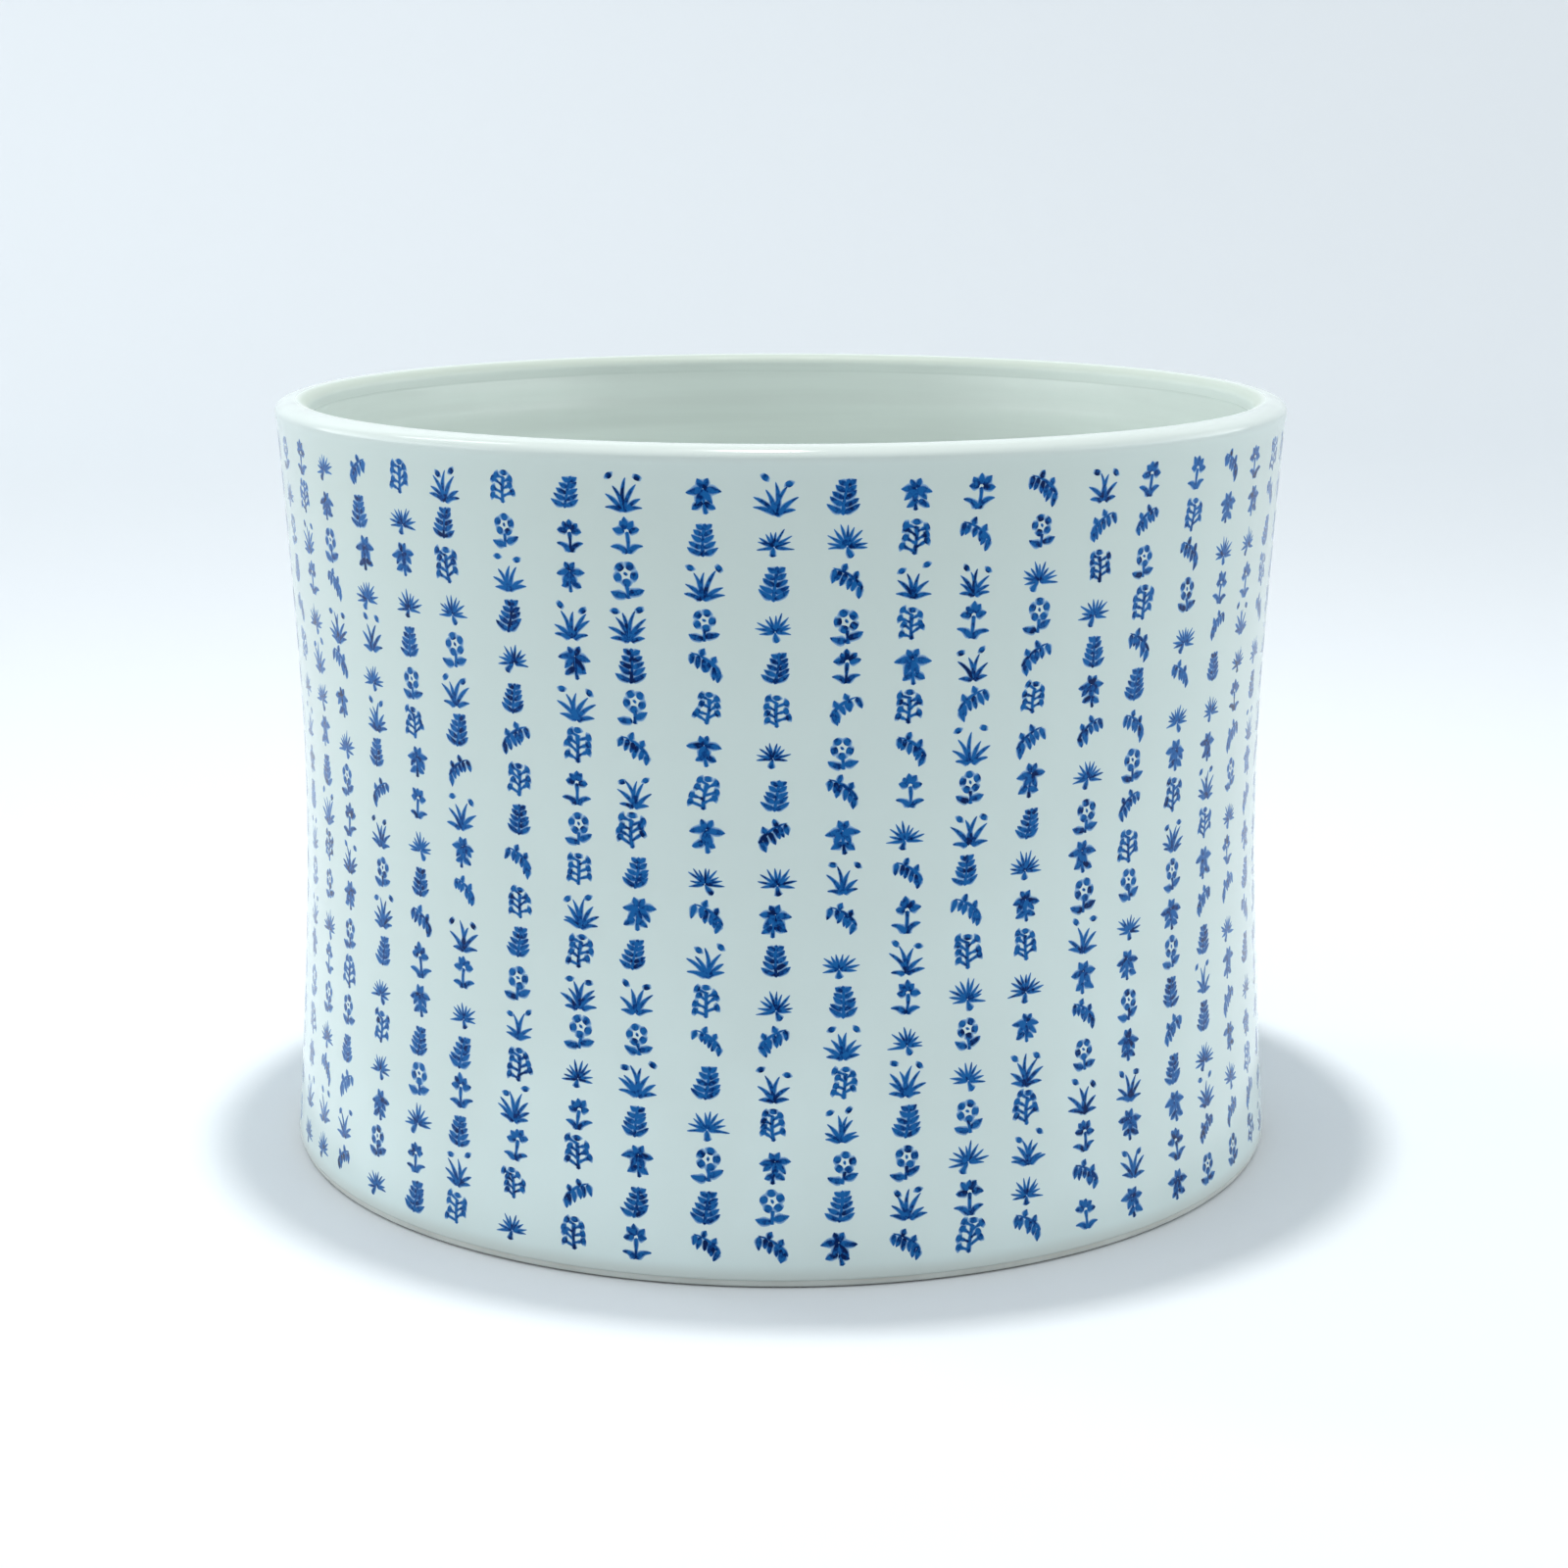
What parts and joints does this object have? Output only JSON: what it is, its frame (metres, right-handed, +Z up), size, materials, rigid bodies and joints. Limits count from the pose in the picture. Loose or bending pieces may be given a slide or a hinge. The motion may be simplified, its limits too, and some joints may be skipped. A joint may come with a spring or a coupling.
{
  "type": "brush holder pot",
  "caption": "Waisted round porcelain pot, open at the top, with a rounded lip and a broad flat foot, for standing writing brushes in.",
  "frame": {"origin": "centre of the resting plane, on the pot's axis", "axes": "+Z up along the pot's axis, out of its mouth; X and Y are free, because the pot is turned about Z"},
  "size_m": [0.2014, 0.2014, 0.1514],
  "materials": {
    "biscuit": "matte",
    "outside_glaze": "gloss",
    "inside_glaze": "gloss",
    "recess_glaze": "gloss",
    "cobalt_painting": "gloss"
  },
  "bodies": {
    "root": {"base_disc": "biscuit", "wall_body": "biscuit", "outer_glaze": "outside_glaze", "inner_glaze": "inside_glaze", "recess_glaze": "recess_glaze"}
  },
  "joints": []
}
